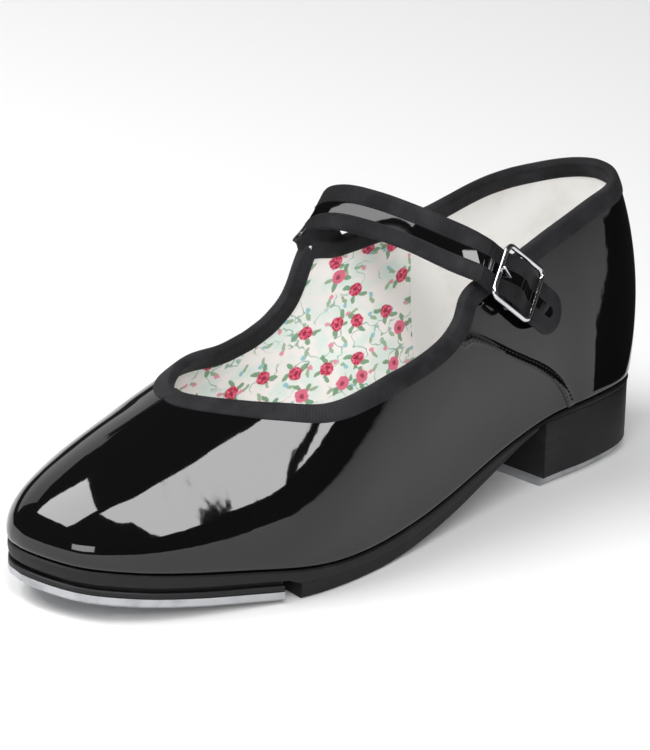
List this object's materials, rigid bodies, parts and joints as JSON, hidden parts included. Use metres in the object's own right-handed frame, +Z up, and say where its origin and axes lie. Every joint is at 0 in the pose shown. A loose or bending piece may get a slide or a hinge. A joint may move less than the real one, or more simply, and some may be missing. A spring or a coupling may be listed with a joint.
{
  "type": "tap shoe",
  "caption": "Left strapped dress shoe with a square wire buckle, low block heel, ribbed sole pad, and metal plates under toe and heel.",
  "frame": {"origin": "centre of the shoe's bounding box, on the floor", "axes": "+X towards the heel, -X towards the toe, -Y the outer (buckle) side, +Z up"},
  "size_m": [0.2412, 0.0852, 0.1077],
  "materials": {
    "patent": "black patent leather, high gloss",
    "floral_cotton": "printed cotton, soft matte",
    "white_lining": "plain off-white lining, matte",
    "stiffener": "fibre board, matte",
    "binding": "ribbed charcoal grosgrain",
    "insole": "cellulose board, matte",
    "steel_spring": "rolled steel strip",
    "cork": "cork filler, matte",
    "sole_rubber": "black moulded rubber, matte",
    "black_board": "black fibre board, matte",
    "tap_metal": "cast aluminium, satin",
    "screw_steel": "steel, bright",
    "nickel": "nickel-plated wire, polished",
    "elastic": "woven elastic, matte"
  },
  "bodies": {
    "shoe": {"vamp": "patent", "quarter_lateral": "patent", "quarter_medial": "patent", "vamp_lining": "floral_cotton", "quarter_lining": "white_lining", "toe_puff": "stiffener", "heel_counter": "stiffener", "throat_binding": "binding", "collar_binding": "binding", "insole_board": "insole", "sock_lining": "white_lining", "shank": "steel_spring", "bottom_filler": "cork", "outsole": "sole_rubber", "sole_pad": "sole_rubber", "tap_board": "black_board", "tap_riser": "black_board", "toe_tap": "tap_metal", "toe_tap_screws": "screw_steel", "heel_block": "sole_rubber", "heel_nails": "screw_steel", "heel_tap": "tap_metal", "heel_tap_screws": "screw_steel", "chape_elastic": "elastic", "strap": "patent", "strap_lining": "binding", "strap_binding": "binding"},
    "buckle": {"buckle_frame": "nickel"},
    "prong": {"buckle_prong": "nickel"},
    "strap_end": {"strap_tip": "patent", "strap_tip_lining": "binding", "strap_tip_binding": "binding"}
  },
  "joints": [
    {"name": "buckle_rock", "type": "hinge", "parent": "shoe", "child": "buckle", "pos_m": [0.04772, -0.02889, 0.07986], "axis": [0.6641, 0.371, 0.6491], "range_deg": [-1.5, 1.5]},
    {"name": "prong_lift", "type": "hinge", "parent": "buckle", "child": "prong", "pos_m": [0.04772, -0.02889, 0.07986], "axis": [0.6641, 0.371, 0.6491], "range_deg": [0, 75]},
    {"name": "strap_end_lift", "type": "hinge", "parent": "shoe", "child": "strap_end", "pos_m": [0.05634, -0.03049, 0.07195], "axis": [-0.6641, -0.371, -0.6491], "range_deg": [0, 35], "stiffness_Nm_per_rad": 0.004}
  ]
}
